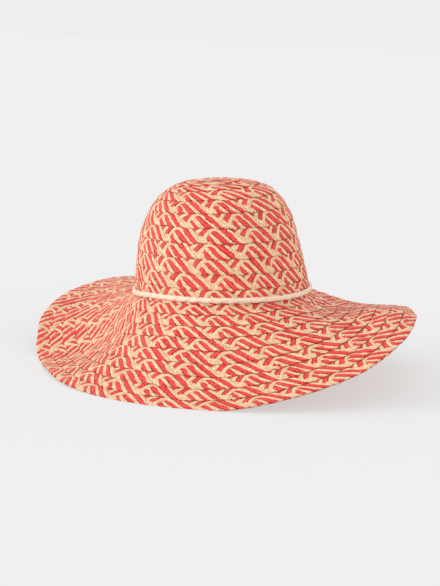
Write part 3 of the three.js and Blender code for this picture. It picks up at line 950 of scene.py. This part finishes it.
def fuzz(material, centre, ahead, out, up):
    """Fine cotton fibres that stand off the cord, each a thin tapered tube."""
    steps, sides = 5, 3
    pick = rng.integers(0, len(centre), FIBRES)
    turn = rng.uniform(-0.6, 1.35, FIBRES) * math.pi
    length = rng.uniform(1.6, 4.2, FIBRES)[:, None]
    lean = rng.normal(0, 1.0, (FIBRES, 1))
    t = np.linspace(0, 1, steps)[None]
    curl = rng.uniform(-1, 1, (FIBRES, 1))
    along = (lean * 0.8 * t + curl * 0.5 * t * t) * length
    round_ = turn[:, None] + (0.5 * curl * t * length) / 2.5
    rise = 0.93 + (0.10 + 0.30 * rng.uniform(0, 1, (FIBRES, 1)) ** 2) * np.sin(t * 2.2)
    c = centre[pick][:, None]
    mid = c + along[..., None] * ahead[pick][:, None] \
        + (rise * np.cos(round_) * CORD_HALF[0])[..., None] * out[pick][:, None] \
        + (rise * np.sin(round_) * CORD_HALF[1])[..., None] * up[pick][:, None]
    heading = unit(np.gradient(mid, axis=1))
    side_a = unit(np.cross(heading, np.array([0.31, 0.52, 0.79])))
    side_b = np.cross(heading, side_a)
    a = np.arange(sides) / sides * 2 * math.pi
    radius = 0.055 * (1 - 0.6 * t)[..., None, None]
    verts = mid[:, :, None] + radius * (np.cos(a)[:, None] * side_a[:, :, None]
                                        + np.sin(a)[:, None] * side_b[:, :, None])
    faces = repeated(wall_faces(steps, sides), FIBRES, steps * sides)
    verts = (verts.reshape(-1, 3) - ORIGIN) * 0.001
    runs = np.repeat(rng.uniform(0, 50, (FIBRES, 1, 3)), steps * sides, 1).reshape(-1, 3)
    obj = add_mesh("hat_cord_fuzz", verts, faces, runs)
    dress(obj, material, "hat_cord")


cord()

# Stage: pale floor and an even pale surround that meet without a line, soft light
SURROUND = 0.858
AMBIENT = 1.0
FLOOR_GLOW = 0.6
FLOOR_RADIUS = 60.0
FLOOR_SIDES = 64
SUNS = (("key", 1.9, 36, Vector((-1.0, -0.28, 0.25)).normalized()),
        ("fill", 1.12, 70, Vector((0.6, -0.75, 0.03)).normalized()))
floor_mesh = bpy.data.meshes.new("floor")
turns = np.arange(FLOOR_SIDES) / FLOOR_SIDES * 2 * math.pi
ring = [(FLOOR_RADIUS * math.cos(a), FLOOR_RADIUS * math.sin(a), 0) for a in turns]
floor_mesh.from_pydata(ring, [], [tuple(range(FLOOR_SIDES))])
floor = bpy.data.objects.new("floor", floor_mesh)
bpy.context.scene.collection.objects.link(floor)
# Lit mostly from below, as a light table, so that the hat's shadow stays faint
paper, tree, bsdf = shader("pale_floor", 1.0, 0.0)
pale = SURROUND * (1 - FLOOR_GLOW) \
    / (AMBIENT + sum(power * source.z for _, power, _, source in SUNS) / math.pi)
bsdf.inputs["Base Color"].default_value = (pale, pale, pale, 1)
bsdf.inputs["Emission Color"].default_value = (1, 1, 1, 1)
bsdf.inputs["Emission Strength"].default_value = SURROUND * FLOOR_GLOW
floor_mesh.materials.append(paper)

world_light = bpy.data.worlds.new("studio")
world_light.use_nodes = True
tree = world_light.node_tree
seen = tree.nodes["Background"]
seen.inputs["Color"].default_value = (1, 1, 1, 1)
seen.inputs["Strength"].default_value = SURROUND
shed = tree.nodes.new("ShaderNodeBackground")
shed.inputs["Color"].default_value = (1, 1, 1, 1)
shed.inputs["Strength"].default_value = AMBIENT
ray = tree.nodes.new("ShaderNodeLightPath")
choice = tree.nodes.new("ShaderNodeMixShader")
tree.links.new(ray.outputs["Is Camera Ray"], choice.inputs[0])
tree.links.new(shed.outputs[0], choice.inputs[1])
tree.links.new(seen.outputs[0], choice.inputs[2])
tree.links.new(choice.outputs[0], tree.nodes["World Output"].inputs["Surface"])
bpy.context.scene.world = world_light
for name, power, spread, source in SUNS:
    lamp = bpy.data.lights.new(name, "SUN")
    lamp.energy = power
    lamp.angle = math.radians(spread)
    lamp_object = bpy.data.objects.new(name, lamp)
    lamp_object.rotation_euler = source.to_track_quat("Z", "Y").to_euler()
    bpy.context.scene.collection.objects.link(lamp_object)
bpy.context.scene.view_settings.view_transform = "Standard"

# Camera of the photograph
VIEW_DISTANCE = 1500.0
VIEW_HEIGHT = math.radians(9.5)
FOCAL_PX = 1500.0
SENSOR = 36.0
FRAME_PX = (440, 586)
CENTRE_PX = (219.4, 285.95)
camera_data = bpy.data.cameras.new("camera")
camera_data.sensor_width = SENSOR
camera_data.lens = FOCAL_PX / FRAME_PX[1] * SENSOR
camera_data.shift_x = (FRAME_PX[0] / 2 - CENTRE_PX[0]) / FRAME_PX[1]
camera_data.shift_y = (CENTRE_PX[1] - FRAME_PX[1] / 2) / FRAME_PX[1]
camera_data.clip_start = 0.1
camera_data.clip_end = 100.0
camera = bpy.data.objects.new("camera", camera_data)
back = np.array([0.0, -math.cos(VIEW_HEIGHT), math.sin(VIEW_HEIGHT)])
upright = np.array([0.0, math.sin(VIEW_HEIGHT), math.cos(VIEW_HEIGHT)])
axes = [stand(a) for a in (np.array([1.0, 0.0, 0.0]), upright, back)]
place = (stand(back * VIEW_DISTANCE) - ORIGIN) * 0.001
rows = [[*(axis[i] for axis in axes), place[i]] for i in range(3)]
camera.matrix_world = Matrix(rows + [[0, 0, 0, 1]])
bpy.context.scene.collection.objects.link(camera)
bpy.context.scene.camera = camera
bpy.context.view_layer.update()
